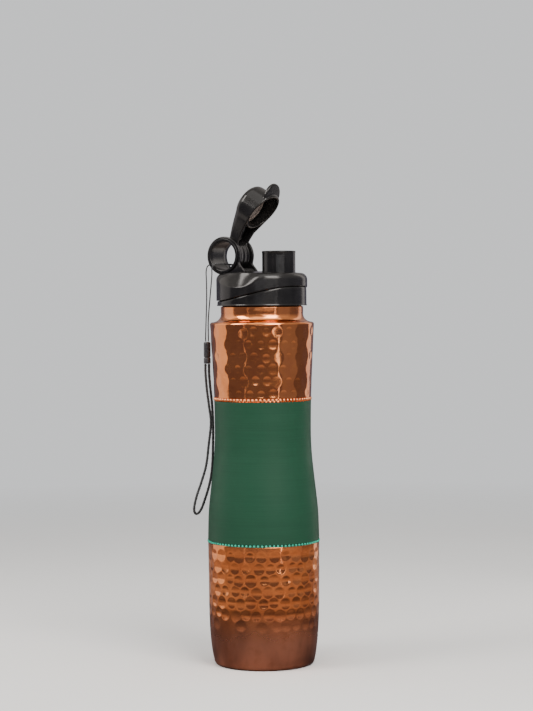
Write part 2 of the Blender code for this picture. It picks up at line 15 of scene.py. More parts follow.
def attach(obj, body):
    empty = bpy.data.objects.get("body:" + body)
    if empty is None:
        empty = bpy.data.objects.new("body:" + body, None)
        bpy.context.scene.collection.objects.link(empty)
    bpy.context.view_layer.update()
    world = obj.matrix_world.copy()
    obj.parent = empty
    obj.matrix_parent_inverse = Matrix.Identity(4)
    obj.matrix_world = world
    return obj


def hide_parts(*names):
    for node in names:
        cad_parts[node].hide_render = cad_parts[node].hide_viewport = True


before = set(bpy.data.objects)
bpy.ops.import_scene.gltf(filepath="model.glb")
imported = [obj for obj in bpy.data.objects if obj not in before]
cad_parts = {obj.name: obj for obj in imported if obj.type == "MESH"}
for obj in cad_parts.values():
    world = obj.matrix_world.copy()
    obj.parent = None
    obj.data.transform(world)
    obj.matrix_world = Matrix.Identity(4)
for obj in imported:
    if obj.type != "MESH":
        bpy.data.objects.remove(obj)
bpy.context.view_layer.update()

MM = 0.001
rng = np.random.default_rng(7)

BODY_TOP = 227.6
# Heights and outer radii of the body, from the foot to the shoulder.
BODY_STATIONS = [(3.2, 33.9), (8.0, 34.9), (16.0, 35.9), (27.0, 36.7), (40.0, 37.1),
                 (56.0, 37.2), (80.0, 37.4), (96.0, 37.1), (104.0, 36.7), (112.0, 35.9),
                 (120.0, 35.0), (128.0, 34.1), (140.0, 32.9), (152.0, 32.3), (164.0, 32.3),
                 (176.0, 32.5), (193.0, 33.1), (210.0, 34.0), (BODY_TOP, 34.9)]
SHOULDER_HEIGHT = 229.2
SHOULDER_RIM = 33.2
NECK_RADIUS = 26.4
NECK_TOP = 250.0
NECK_BORE = 25.5
COLLAR_RADIUS = 27.6
BAND_LOW, BAND_HIGH = 82.4, 177.5
LID_RADIUS, SKIRT_RADIUS, LID_BOTTOM = 30.5, 29.9, 240.1
SKIRT_BORE = NECK_RADIUS + 1.5
SPOUT_X, SPOUT_RADIUS, SPOUT_BORE, SPOUT_TOP = 13.3, 11.1, 9.6, 276.5
HINGE = Vector((-24.3, 0.0, 273.8))
FERRULE_PLACE = (-36.0, -12.3)
FERRULE_LOW, FERRULE_HIGH = 201.3, 216.0
FLIP_OPEN_ANGLE = 60.0


def placed(name, data):
    """A new object in the scene."""
    item = bpy.data.objects.new(name, data)
    bpy.context.scene.collection.objects.link(item)
    return item


# -------- camera

CAMERA_TURN, CAMERA_ROLL = -59.0, -0.43
CAMERA_DISTANCE, CAMERA_HEIGHT = 1.3, 0.244
AIM_ASIDE, AIM_HEIGHT = 0.0028, 0.2067
VIEW_HEIGHT = 0.47637
SENSOR = 36.0


def add_camera():
    """The photo's view. The lens follows from the height seen at the bottle, in metres."""
    across = math.radians(CAMERA_TURN + 90.0)
    right = Vector((math.cos(across), math.sin(across), 0.0))
    back = Vector((math.sin(across), -math.cos(across), 0.0))
    place = back * CAMERA_DISTANCE + Vector((0.0, 0.0, CAMERA_HEIGHT))
    target = right * AIM_ASIDE + Vector((0.0, 0.0, AIM_HEIGHT))
    camera = placed("camera", bpy.data.cameras.new("camera"))
    camera.location = place
    camera.rotation_euler = (target - place).to_track_quat("-Z", "Y").to_euler()
    camera.rotation_euler.rotate_axis("Z", math.radians(CAMERA_ROLL))
    camera.data.lens = CAMERA_DISTANCE / VIEW_HEIGHT * SENSOR
    bpy.context.scene.camera = camera


add_camera()


# -------- materials

class Nodes:
    """Short calls for building a node tree. An input is a constant or another node's output."""

    def __init__(self, owner):
        owner.use_nodes = True
        self.tree = owner.node_tree
        self.coordinates = self.add("ShaderNodeTexCoord").outputs

    def feed(self, socket, value):
        """Link an output to a socket, or put a constant on it."""
        if isinstance(value, bpy.types.NodeSocket):
            self.tree.links.new(value, socket)
        else:
            socket.default_value = value

    def add(self, kind, inputs=None, **settings):
        """A new node with its settings and inputs."""
        node = self.tree.nodes.new(kind)
        for key, value in settings.items():
            setattr(node, key, value)
        for key, value in (inputs or {}).items():
            self.feed(node.inputs[key], value)
        return node

    def ramp(self, factor, stops):
        """Colours along a value, from (position, colour) stops."""
        node = self.add("ShaderNodeValToRGB", {"Fac": factor})
        bar = node.color_ramp
        while len(bar.elements) < len(stops):
            bar.elements.new(0.5)
        for element, (position, colour) in zip(bar.elements, stops):
            element.position = position
            element.color = (*colour, 1.0)
        return node.outputs["Color"]


class Surface(Nodes):
    """The node tree of one material."""

    def __init__(self, name):
        self.material = bpy.data.materials.new(name)
        super().__init__(self.material)
        self.shader = self.tree.nodes["Principled BSDF"]
        self.place = self.coordinates["Object"]

    def set(self, **values):
        """Put constants on the shader's own sockets."""
        for key, value in values.items():
            self.shader.inputs[key.replace("_", " ")].default_value = value

    def stretched(self, scale):
        """Places on the object, multiplied along each axis."""
        inputs = {"Scale": scale, "Vector": self.place}
        return self.add("ShaderNodeMapping", inputs).outputs["Vector"]

    def noise(self, scale, detail=4.0, vector=None):
        """Cloudy values between 0 and 1."""
        inputs = {"Scale": scale, "Detail": detail, "Roughness": 0.55,
                  "Vector": vector or self.place}
        return self.add("ShaderNodeTexNoise", inputs).outputs["Fac"]

    def span(self, factor, low, high, start=0.0, end=1.0):
        """Map start..end of a value to low..high."""
        inputs = {"Value": factor, "From Min": start, "From Max": end, "To Min": low,
                  "To Max": high}
        return self.add("ShaderNodeMapRange", inputs).outputs["Result"]

    def maths(self, operation, one, two):
        """Two values added or multiplied."""
        return self.add("ShaderNodeMath", {0: one, 1: two}, operation=operation).outputs["Value"]

    def mix(self, factor, one, two):
        """Blend two colours."""
        one, two = ((*value, 1.0) if isinstance(value, tuple) else value for value in (one, two))
        inputs = {"Factor": factor, "A": one, "B": two}
        return self.add("ShaderNodeMix", inputs, data_type="RGBA").outputs["Result"]

    def height(self):
        """Height above the ground in metres."""
        return self.add("ShaderNodeSeparateXYZ", {"Vector": self.place}).outputs["Z"]

    def bump(self, *layers):
        """Stack (value, distance in metres) layers of relief on the surface."""
        below = {}
        for value, distance in layers:
            inputs = {"Height": value, "Distance": distance, **below}
            below = {"Normal": self.add("ShaderNodeBump", inputs).outputs["Normal"]}
        self.feed(self.shader.inputs["Normal"], below["Normal"])

    def finish(self, colour, roughness):
        """Join the colour and the roughness, and hand back the material."""
        self.feed(self.shader.inputs["Base Color"], colour)
        self.feed(self.shader.inputs["Roughness"], roughness)
        return self.material


def copper_material():
    """Warm bright copper with cloudy patches of painted reflection, satin near the foot with
    streaks that are partly painted reflection, hazier at the neck.
    """
    n = Surface("hammered_copper")
    n.set(Metallic=1.0)
    cloud = n.noise(38.0, 5.0)
    tint = n.ramp(cloud, [(0.3, (0.70, 0.235, 0.080)), (0.52, (0.81, 0.285, 0.098)),
                          (0.72, (0.88, 0.335, 0.120))])
    # Darker cloudy patches: painted reflection of the surroundings.
    painted_reflection_patches = n.span(n.noise(75.0, 3.0, n.stretched((1.0, 1.0, 0.6))), 0.0, 0.55, 0.5, 0.72)
    tint = n.mix(painted_reflection_patches, tint, (0.62, 0.20, 0.085))
    satin = n.span(n.height(), 1.0, 0.0, 0.018, 0.040)
    # Vertical streaks at the foot: partly the satin finish, partly painted reflection of bright and
    # dark bands.
    streak_and_painted_reflection = n.span(n.noise(21.0, 5.0, n.stretched((1.0, 1.0, 0.30))), 0.0, 1.0, 0.38, 0.60)
    foot = n.mix(streak_and_painted_reflection, (0.30, 0.115, 0.070), (0.80, 0.330, 0.190))
    dull = n.mix(satin, tint, foot)
    stain = n.span(n.noise(120.0, 6.0), 0.0, 0.35, 0.52, 0.75)
    colour = n.mix(stain, dull, (0.48, 0.155, 0.06))
    smear = n.noise(9.0, 5.0, n.stretched((8.0, 8.0, 1.2)))
    neck = n.span(n.height(), 0.0, 0.07, 0.2288, 0.2300)
    polish = n.maths("ADD", n.span(smear, 0.06, 0.14, 0.35, 0.7), n.maths("MULTIPLY", satin, 0.22))
    polish = n.maths("ADD", polish, neck)
    grain = n.noise(900.0, 3.0)
    brushed = n.noise(30.0, 4.0, n.stretched((6.0, 6.0, 90.0)))
    n.bump((cloud, 0.00012), (brushed, 0.00001), (grain, 0.000006))
    return n.finish(colour, polish)


def bead_highlight_material():
    """Copper made lighter on the raised beads: a painted highlight."""
    n = Surface("bead_copper_painted_highlight")
    n.set(Metallic=1.0)
    cloud = n.noise(140.0, 4.0)
    # Lighter orange than the body: painted highlight on the beads.
    colour = n.mix(cloud, (0.90, 0.36, 0.15), (0.97, 0.47, 0.23))
    n.bump((cloud, 0.00002), (n.noise(1500.0, 3.0), 0.000006))
    return n.finish(colour, n.span(cloud, 0.26, 0.38, 0.3, 0.7))


def lacquer_material(name, dark, light):
    """Satin coat with faint lines round the body."""
    n = Surface(name)
    lines = n.noise(24.0, 3.0, n.stretched((1.0, 1.0, 46.0)))
    fine = n.noise(40.0, 2.0, n.stretched((0.6, 0.6, 110.0)))
    tone = n.span(n.maths("ADD", lines, n.maths("MULTIPLY", fine, 0.5)), 0.15, 0.85, 0.4, 1.1)
    colour = n.mix(tone, dark, light)
    rough = n.span(n.noise(70.0, 5.0), 0.44, 0.56, 0.35, 0.65)
    orange_peel = n.noise(420.0, 2.0)
    n.bump((lines, 0.00004), (fine, 0.000015), (orange_peel, 0.000012))
    n.set(Specular_IOR_Level=0.20)
    return n.finish(colour, rough)


def plastic_material():
    """Satin black, hazy and a little rubbed."""
    n = Surface("black_plastic")
    haze = n.noise(85.0, 6.0)
    cloud = n.span(haze, 0.0, 1.0, 0.4, 0.75)
    colour = n.mix(cloud, (0.005, 0.0048, 0.0048), (0.010, 0.0095, 0.0096))
    rub = n.noise(260.0, 3.0, n.stretched((1.0, 1.0, 0.35)))
    rough = n.maths("ADD", n.span(haze, 0.13, 0.21, 0.3, 0.7), n.span(rub, 0.0, 0.05, 0.5, 0.8))
    n.bump((haze, 0.00003), (n.noise(2600.0, 2.0), 0.000008))
    n.set(IOR=1.5, Specular_IOR_Level=0.34)
    return n.finish(colour, rough)


def silicone_material():
    """The matt greyish brown of the seals, made lighter partly as painted light so the seal inside
    the cup reads as lit.
    """
    n = Surface("dark_silicone")
    haze = n.noise(110.0, 5.0)
    # Light greyish brown: partly the seal's own colour, partly painted light for the cup's inside.
    colour = n.mix(haze, (0.140, 0.105, 0.088), (0.230, 0.178, 0.152))
    rough = n.span(haze, 0.5, 0.72, 0.3, 0.7)
    n.bump((n.noise(1800.0, 3.0), 0.00002))
    n.set(Sheen_Weight=0.15, Sheen_Roughness=0.6)
    return n.finish(colour, rough)


def cord_material():
    """Black fibres."""
    n = Surface("black_braid")
    fibre = n.noise(900.0, 4.0, n.stretched((1.0, 1.0, 3.0)))
    cloud = n.span(fibre, 0.0, 1.0, 0.35, 0.7)
    colour = n.mix(cloud, (0.006, 0.006, 0.007), (0.030, 0.030, 0.034))
    rough = n.span(fibre, 0.62, 0.9, 0.3, 0.7)
    n.bump((fibre, 0.00008), (n.noise(4200.0, 2.0), 0.00003))
    n.set(Sheen_Weight=0.3, Sheen_Roughness=0.45)
    return n.finish(colour, rough)


def ferrule_material():
    """Smooth dark grey, a shade lighter than the cords."""
    n = Surface("dark_ferrule")
    haze = n.noise(150.0, 4.0)
    colour = n.mix(haze, (0.018, 0.018, 0.020), (0.038, 0.038, 0.042))
    rough = n.span(haze, 0.2, 0.34, 0.3, 0.7)
    n.bump((n.noise(1500.0, 2.0, n.stretched((1.0, 1.0, 0.2))), 0.00001))
    return n.finish(colour, rough)


COPPER = copper_material()
BEAD_HIGHLIGHT = bead_highlight_material()
LACQUER = lacquer_material("green_lacquer", (0.007, 0.040, 0.021), (0.011, 0.056, 0.029))
TEAL = lacquer_material("teal_lacquer", (0.015, 0.270, 0.180), (0.030, 0.370, 0.250))
PLASTIC = plastic_material()
SILICONE = silicone_material()
CORD = cord_material()
FERRULE = ferrule_material()


# -------- mesh tools

def mesh_from(name, places, faces, weld):
    """A mesh from points in millimetres, with its normals turned outward."""
    mesh = bpy.data.meshes.new(name)
    mesh.from_pydata((np.asarray(places, float) * MM).tolist(), [], faces)
    bm = bmesh.new()
    bm.from_mesh(mesh)
    if weld:
        bmesh.ops.remove_doubles(bm, verts=bm.verts, dist=0.000002)
    bmesh.ops.recalc_face_normals(bm, faces=bm.faces)
    bm.to_mesh(mesh)
    bm.free()
    return mesh


def piece_from(name, places, faces, material, body, slot, stands_for=(), crease=38.0):
    """A smooth-shaded piece from points in millimetres, riding on a body."""
    mesh = mesh_from(name, places, faces, weld=True)
    mesh.materials.append(material)
    mesh.shade_smooth()
    mesh.set_sharp_from_angle(angle=math.radians(crease))
    item = placed(name, mesh)
    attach(item, body)
    if stands_for:
        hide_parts(*stands_for)
    return item


def grid_faces(rows, columns, wrap_rows=False, wrap_columns=True, first=0):
    """Quads joining a grid of points stored row by row."""
    down = np.arange(rows if wrap_rows else rows - 1)
    along = np.arange(columns if wrap_columns else columns - 1)
    i, j = (part.ravel() for part in np.meshgrid(down, along, indexing="ij"))
    k, m = (i + 1) % rows, (j + 1) % columns
    quads = np.stack([i * columns + j, i * columns + m, k * columns + m, k * columns + j], 1)
    return (quads + first).tolist()


def end_faces(rows, columns, first=0):
    """The first and the last row of a grid as two faces."""
    last = first + (rows - 1) * columns
    return [list(range(first, first + columns)), list(range(last, last + columns))]


def turned(outline, columns, centre=(0.0, 0.0), closed=True):
    """Points and faces of an outline of (radius, height) turned round a vertical axis."""
    outline = np.asarray(outline, float)
    angle = np.linspace(0, math.tau, columns, endpoint=False)
    radius = outline[:, :1]
    places = np.stack([centre[0] + radius * np.cos(angle), centre[1] + radius * np.sin(angle),
                       np.broadcast_to(outline[:, 1:], (len(outline), columns))], 2)
    return places.reshape(-1, 3), grid_faces(len(outline), columns, wrap_rows=closed)


def arc(cx, cy, radius, start, end, steps):
    """Points of a round stretch, from one angle in degrees to another."""
    angles = np.radians(np.linspace(start, end, steps + 1))
    return list(zip(cx + radius * np.cos(angles), cy + radius * np.sin(angles)))


def smooth_step(value, start, end):
    """0 before start, 1 after end, and an even S between them."""
    t = np.clip((value - start) / (end - start), 0.0, 1.0)
    return t * t * (3 - 2 * t)


def through(points, samples):
    """Catmull-Rom curve through points, taken at even steps of its parameter."""
    p = np.asarray(points, float)
    t = np.linspace(0, len(p) - 1, samples)
    i = np.minimum(t.astype(int), len(p) - 2)
    f = (t - i)[:, None]
    padded = np.vstack([2 * p[0] - p[1], p, 2 * p[-1] - p[-2]])
    a, b, c, d = (padded[i + k] for k in range(4))
    return 0.5 * (2 * b + (c - a) * f + (2 * a - 5 * b + 4 * c - d) * f ** 2
                  + (3 * b - a - 3 * c + d) * f ** 3)


BODY_CURVE = through(BODY_STATIONS, 2000)


def body_radius(height):
    """Outer radius of the body at a height."""
    return np.interp(height, BODY_CURVE[:, 0], BODY_CURVE[:, 1])


def distances(points):
    """How far along a line each of its points lies."""
    return np.concatenate([[0.0], np.cumsum(np.linalg.norm(np.diff(points, axis=0), axis=1))])


def rounded(outline, spacing, reach):
    """Resample an open outline evenly and soften its corners."""
    outline = np.asarray(outline, float)
    along = distances(outline)
    count = max(8, int(along[-1] / spacing))
    even = np.linspace(0, along[-1], count)
    dense = np.stack([np.interp(even, along, outline[:, k]) for k in (0, 1)], 1)
    width = max(1, int(reach / spacing))
    padded = np.pad(dense, ((width, width), (0, 0)), mode="edge")
    kernel = np.hanning(2 * width + 3)[1:-1]
    kernel /= kernel.sum()
    soft = np.stack([np.convolve(padded[:, k], kernel, "valid") for k in (0, 1)], 1)
    soft[0], soft[-1] = dense[0], dense[-1]
    return soft


# -------- copper body

STRENGTH_SPREAD, WEAKEST, STRONGEST = 0.20, 0.55, 1.4
SMALLEST_MARK, MARK_SPREAD = 0.85, 0.3
LEFT_OUT = 0.45


def hammer_marks(rows, columns, low, pitch, size, depth, jitter, sparse_below=0.0, phase=0.0):
    """Hammer blows in staggered rows, as (angle, height, radius, depth)."""
    marks = []
    for row in range(rows):
        z = low + pitch * row
        for column in range(columns):
            shift = 0.5 * (row % 2)
            angle = phase + (column + shift + rng.normal(0, jitter)) * math.tau / columns
            strength = np.clip(rng.normal(1.0, STRENGTH_SPREAD), WEAKEST, STRONGEST)
            if z < sparse_below and rng.random() < LEFT_OUT:
                continue
            marks.append((angle, z + rng.normal(0, jitter) * pitch,
                          size * (SMALLEST_MARK + MARK_SPREAD * rng.random()), depth * strength))
    return np.array(marks)


def beaten(angle, z, radius, marks):
    """How far the hammer blows push the surface in, the deepest blow winning at each point."""
    depth = np.zeros(np.broadcast(angle, z).shape)
    for mark_angle, mark_z, size, deep in marks:
        rows = np.where(np.abs(z[:, 0] - mark_z) < size)[0]
        if not len(rows):
            continue
        part = slice(rows[0], rows[-1] + 1)
        turn = (angle - mark_angle + math.pi) % math.tau - math.pi
        gap = ((turn * radius[part]) ** 2 + (z[part] - mark_z) ** 2) / size ** 2
        dish = deep * np.clip(1 - gap, 0, 1)
        depth[part] = np.maximum(depth[part], dish)
    return depth


def shell_outline():
    """The shell's closed outline in two parts: its outer side, then its rim and inner side."""
    heights = [*np.linspace(3.8, 22, 14), *np.arange(22.5, BAND_LOW - 0.6, 0.5), BAND_LOW - 0.2]
    bead = [(body_radius(BAND_HIGH + up) - sunk, BAND_HIGH + up)
            for up, sunk in ((-0.35, 0.45), (0.0, 0.55), (1.0, 0.55), (1.4, 0.4), (1.6, 0.02))]
    recess = (BAND_LOW + 0.2, *np.linspace(BAND_LOW + 4, BAND_HIGH - 3, 14), BAND_HIGH - 1)
    outer = [(26.0, 0.9), (26.0, 0.25), (26.25, 0.0)] + arc(30.7, 3.2, 3.2, -90, 0, 10)
    outer += [(body_radius(z), z) for z in heights]
    outer += [(body_radius(z) - 0.65, z) for z in recess]
    outer += [(body_radius(BAND_HIGH - 0.6), BAND_HIGH - 0.6)] + bead
    outer += [(body_radius(z), z) for z in np.arange(BAND_HIGH + 1.7, 227.4, 0.5)]
    outer += arc(body_radius(BODY_TOP) - 1.6, BODY_TOP, 1.6, 0, 90, 6)
    inner = [(SHOULDER_RIM - 1.0, SHOULDER_HEIGHT), (SHOULDER_RIM - 1.0, SHOULDER_HEIGHT - 0.7)]
    inner += [(body_radius(z) - 1.35, z) for z in np.linspace(227, 4, 16)]
    return outer, inner + [(30.7, 0.9)]


def make_shell():
    """The copper body, its outer side pushed in by the hammer and a little uneven."""
    columns = 500
    angle = np.linspace(0, math.tau, columns, endpoint=False)[None, :]
    outer, inner = shell_outline()
    outline = np.array(outer + inner)
    radius, z = outline[:, :1], outline[:, 1:]
    lower = hammer_marks(rows=7, columns=30, low=29.6, pitch=7.7, size=3.7, depth=0.30,
                         jitter=0.07, sparse_below=31.0)
    higher = hammer_marks(rows=6, columns=27, low=181.9, pitch=8.17, size=3.4, depth=0.22,
                          jitter=0.05, phase=math.radians(-101.0))
    push = beaten(angle, z, radius, lower) * smooth_step(z, 19, 33) * (1 - smooth_step(z, 76, 81))
    push += (beaten(angle, z, radius, higher) * smooth_step(z, 178.4, 181)
             * (1 - smooth_step(z, 225.5, 228.2)))
    wander = 0.05 * np.sin(3 * angle + z / 19) + 0.04 * np.sin(7 * angle - z / 11)
    outside = np.arange(len(outline))[:, None] < len(outer)
    inward = np.where(outside, push + 0.06 + wander * smooth_step(z, 4, 14), 0.0)
    places = np.stack([(radius - inward) * np.cos(angle), (radius - inward) * np.sin(angle),
                       np.broadcast_to(z, inward.shape)], 2)
    faces = grid_faces(len(outline), columns, wrap_rows=True)
    piece_from("hammered_shell", places.reshape(-1, 3), faces, COPPER, "bottle", "copper",
               ["bottle_shell"], crease=60.0)


def make_beads(name, count, z, sizes, material, slot):
    """A row of raised beads round the body, with half sizes along the row, outward and up."""
    tangential, radial, vertical = sizes
    bm = bmesh.new()
    base = body_radius(z) - 0.18
    for k in range(count):
        turn = math.tau * k / count
        made = bmesh.ops.create_icosphere(bm, subdivisions=2, radius=1.0)["verts"]
        wobble = 1.0 + rng.normal(0, 0.035)
        bmesh.ops.scale(bm, vec=(radial, tangential * wobble, vertical), verts=made)
        bmesh.ops.translate(bm, vec=(base, 0, z + rng.normal(0, 0.03)), verts=made)
        bmesh.ops.rotate(bm, cent=(0, 0, 0), matrix=Matrix.Rotation(turn, 3, "Z"), verts=made)
    places = [vert.co[:] for vert in bm.verts]
    faces = [[vert.index for vert in face.verts] for face in bm.faces]
    bm.free()
    piece_from(name, places, faces, material, "bottle", slot, crease=80.0)


def make_band():
    """The green coat as a sleeve, with a lip over the lower edge of its recess."""
    low, high = BAND_LOW, BAND_HIGH
    outer = [(body_radius(low) + out, low + up)
             for out, up in ((-0.2, -0.35), (0.05, -0.25), (-0.35, 0.1), (-0.42, 0.5), (-0.38, 1.0),
                             (0.0, 1.35))]
    outer += [(body_radius(z) - 0.01, z) for z in np.linspace(low + 2.2, high - 1.0, 90)]
    outer += [(body_radius(high) - 0.1, high - 0.75), (body_radius(high) - 0.4, high - 0.7)]
    inner = [(body_radius(z) - 0.6, z) for z in np.linspace(high - 1.5, low + 0.5, 12)]
    piece_from("lacquer_sleeve", *turned(outer + inner, 256), LACQUER, "bottle", "lacquer",
               ["lacquer_band"])


def helix_ridge(root, tip, start, turns=1.25, pitch=4.0, steps=150, first=0):
    """Points and faces of a thread's ridge, whose ends run out into the wall."""
    sink = math.copysign(0.3, root - tip)
    section = np.array([(root + sink, -1.0), (root, -0.85), ((root + 2 * tip) / 3, -0.55),
                        (tip, -0.28), (tip, 0.28), ((root + 2 * tip) / 3, 0.55), (root, 0.85),
                        (root + sink, 1.0)])
    turn = np.linspace(0, turns, steps)[:, None]
    fade = np.clip(np.minimum(turn, turns - turn) * 9, 0.0, 1.0)
    radius = root + sink + (section[:, 0] - root - sink) * fade
    angle = math.tau * turn
    places = np.stack([radius * np.cos(angle), radius * np.sin(angle),
                       start + pitch * turn + section[:, 1] * (0.4 + 0.6 * fade)], 2)
    faces = grid_faces(steps, len(section), first=first)
    return places.reshape(-1, 3), faces + end_faces(steps, len(section), first)


def make_neck():
    """Shoulder, collar and threaded neck, polished."""
    under = SHOULDER_HEIGHT - 1.0
    rim = SHOULDER_RIM
    outline = [(rim - 0.2, under - 0.7), (rim - 0.2, under), (rim - 1.05, under),
               (rim - 1.05, SHOULDER_HEIGHT - 0.35)]
    outline += arc(rim - 0.1, 234.9, 5.6, -100, -180, 22)
    outline += [(COLLAR_RADIUS, z) for z in (235.6, 237.0, 238.6, 239.1)]
    outline += [(COLLAR_RADIUS - 0.15, 239.5), (NECK_RADIUS + 0.15, 239.75), (NECK_RADIUS, 240.1)]
    outline += [(NECK_RADIUS, z) for z in (243.0, 246.0, NECK_TOP - 0.5)]
    outline += [(NECK_RADIUS - 0.12, NECK_TOP - 0.12), (NECK_RADIUS - 0.4, NECK_TOP),
                (NECK_BORE + 0.15, NECK_TOP), (NECK_BORE, NECK_TOP - 0.15), (NECK_BORE, 239.0),
                (COLLAR_RADIUS - 1.0, 238.0), (COLLAR_RADIUS - 1.0, 234.9), (28.4, 230.8),
                (30.2, under - 0.7)]
    places, faces = turned(outline, 192)
    ridge, more = helix_ridge(NECK_RADIUS, NECK_RADIUS + 1.1, 241.9, first=len(places))
    piece_from("polished_neck", np.vstack([places, ridge]), faces + more, COPPER, "bottle",
               "copper", ["neck_collar"])


make_shell()
make_beads("copper_beads", 76, BAND_HIGH + 0.5, (0.98, 0.66, 1.05), BEAD_HIGHLIGHT, "copper")
make_beads("teal_beads", 89, BAND_LOW + 0.5, (0.84, 0.62, 0.78), TEAL, "lacquer")
make_band()
make_neck()


# -------- lid

def cut(target, name, places, faces):
    """Apply one exact Boolean difference and drop the cutter."""
    tool = placed(name, mesh_from(name, places, faces, weld=False))
    modifier = target.modifiers.new(name, "BOOLEAN")
    modifier.operation = "DIFFERENCE"
    modifier.solver = "EXACT"
    modifier.object = tool
    bpy.context.view_layer.update()
    graph = bpy.context.evaluated_depsgraph_get()
    made = bpy.data.meshes.new_from_object(target.evaluated_get(graph))
    target.modifiers.clear()
    target.data = made
    bpy.data.objects.remove(tool)


def step_height(angle):
    """Height of the wavy line between the cover and the skirt."""
    return 243.5 + 9.5 * (1 - smooth_step(abs(angle), math.radians(15), math.radians(132)))


def resampled(outline, count):
    """Radii and heights of points spread evenly over an outline."""
    own = np.linspace(0, 1, len(outline))
    even = np.linspace(0, 1, count)
    return [np.interp(even, own, outline[:, k]) for k in (0, 1)]


def round_lid(section, columns):
    """Points and faces of a closed section that changes with the angle from -pi to pi."""
    grid = []
    for k in range(columns):
        angle = math.tau * k / columns
        r, z = section((angle + math.pi) % math.tau - math.pi)
        grid.append(np.stack([r * math.cos(angle), r * math.sin(angle), z], 1))
    places = np.stack(grid, 1)
    return places.reshape(-1, 3), grid_faces(len(places), columns)


COVER_EDGE, COVER_CORNER = 261.9, 4.5
SCOOP = [(LID_RADIUS, 252.3), (28.2, 255.6), (24.8, 262.0)]


def cover_outline(angle):
    """Outline of the cover at one angle, from its lower edge to the middle of its top."""
    size = abs(angle)
    scooped = (smooth_step(size, math.radians(55), math.radians(88))
               * (1 - smooth_step(size, math.radians(96), math.radians(150))))
    step = step_height(angle) + 0.15
    outline = [(LID_RADIUS - 1.6, step + 0.1), (LID_RADIUS - 0.9, step - 0.1),
               (LID_RADIUS, step - 0.1), (LID_RADIUS, step + 0.6)]
    for t in np.linspace(0, 1, 40):
        turn = math.radians(90 * t)
        round_r = LID_RADIUS - COVER_CORNER + COVER_CORNER * math.cos(turn)
        round_z = COVER_EDGE - COVER_CORNER + COVER_CORNER * math.sin(turn)
        shares = ((1 - t) ** 2, 2 * t * (1 - t), t ** 2)
        scoop_r, scoop_z = (sum(share * point[k] for share, point in zip(shares, SCOOP))
                            for k in (0, 1))
        outline.append((round_r + (scoop_r - round_r) * scooped,
                        round_z + (scoop_z - round_z) * scooped))
    edge = outline[-1][0]
    outline += [(r, 263.2 - 1.3 * (r / 26) ** 2) for r in np.linspace(edge - 0.6, 0.0, 12)]
    return rounded(outline, 0.14, 0.6)


def cover_section(angle):
    """The cover's section at one angle: its inner side from the middle out, then its outer side."""
    r, z = resampled(cover_outline(angle), 250)
    inner_r = [0.0, 24.0, 27.4, LID_RADIUS - 1.6]
    inner_z = [261.4, 260.4, 256.6, max(z[0] + 0.6, 254.3)]
    return np.concatenate([inner_r, r]), np.concatenate([inner_z, z])


def along_y(places):
    """Lay points made round Z round the hinge's axis: their height becomes -Y."""
    x, y, z = np.asarray(places, float).T
    return np.stack([x + HINGE.x, -z, y + HINGE.z], 1)


def lid_piece(name, places, faces, stands_for=(), crease=38.0):
    """A black plastic piece that rides on the lid."""
    return piece_from(name, places, faces, PLASTIC, "lid", "lid_plastic", stands_for, crease)


def make_cover():
    """The lid's cover with its scoops, the spout's hole and a saddle under the hinge."""
    places, faces = round_lid(cover_section, 288)
    cover = lid_piece("lid_top", places, faces, ["lid_cover"])
    radius = SPOUT_RADIUS + 0.4
    hole = [(0.0, 255.0), (radius, 255.0), (radius, 262.6), (radius + 0.5, 263.4),
            (radius + 0.5, 270.0), (0.0, 270.0)]
    cut(cover, "hole", *turned(hole, 128, (SPOUT_X, 0.0), closed=False))
    radius, half = 12.2, 7.45
    saddle = [(0.0, -half), (radius, -half), (radius, half), (0.0, half)]
    places, faces = turned(saddle, 128, closed=False)
    cut(cover, "saddle", along_y(places), faces)
    cover.data.set_sharp_from_angle(angle=math.radians(38))


CHEEK_RADIUS, CHEEK_BORE = 12.9, 10.9
CHEEK_NEAR, CHEEK_FAR = 7.5, 9.5
WEB = [(-33.4, 266.6), (-30.2, 263.2), (-26.8, 261.2), (-20.0, 261.6), (-9.4, 262.2),
       (-7.0, 262.9), (-10.0, 265.2), (-12.2, 268.2), (-13.2, 271.0)]


def cheek_reach(angle):
    """How far a cheek reaches from the hinge's axis: a circle, or the web if that is further."""
    reach = np.full(len(angle), CHEEK_RADIUS)
    web = np.array(WEB) - (HINGE.x, HINGE.z)
    for one, two in zip(web, web[1:]):
        side = two - one
        for k, turn in enumerate(angle):
            ray = np.array([math.cos(turn), math.sin(turn)])
            across = ray[0] * side[1] - ray[1] * side[0]
            if abs(across) < 1e-9:
                continue
            distance = (one[0] * side[1] - one[1] * side[0]) / across
            share = (one[0] * ray[1] - one[1] * ray[0]) / across
            if 0 <= share <= 1 and distance > 0:
                reach[k] = max(reach[k], distance)
    kernel = np.hanning(9)[1:-1]
    kernel /= kernel.sum()
    wide = np.concatenate([reach[-3:], reach, reach[:3]])
    return np.maximum(np.convolve(wide, kernel, "valid"), CHEEK_RADIUS)


def make_cheeks():
    """Two end rings of the hinge with the webs that join them to the lid's top."""
    columns = 240
    angle = np.linspace(0, math.tau, columns, endpoint=False)
    reach = cheek_reach(angle)
    places, faces = [], []
    for side in (-1, 1):
        near, far = CHEEK_NEAR * side, CHEEK_FAR * side
        rim = [(0.3, near), (0.1, near + 0.1 * side), (0.0, near + 0.3 * side),
               (0.0, far - 0.6 * side), (0.1, far - 0.25 * side), (0.3, far - 0.06 * side),
               (0.65, far)]
        rows = [(CHEEK_BORE, near)] + [(reach - inset, y) for inset, y in rim]
        rows += [(CHEEK_BORE + 0.4, far), (CHEEK_BORE, far - 0.3 * side)]
        first = len(places)
        for radius, y in rows:
            places += list(zip(HINGE.x + radius * np.cos(angle), np.full(columns, y),
                               HINGE.z + radius * np.sin(angle)))
        faces += grid_faces(len(rows), columns, wrap_rows=True, first=first)
    lid_piece("hinge_cheeks", places, faces, crease=44.0)


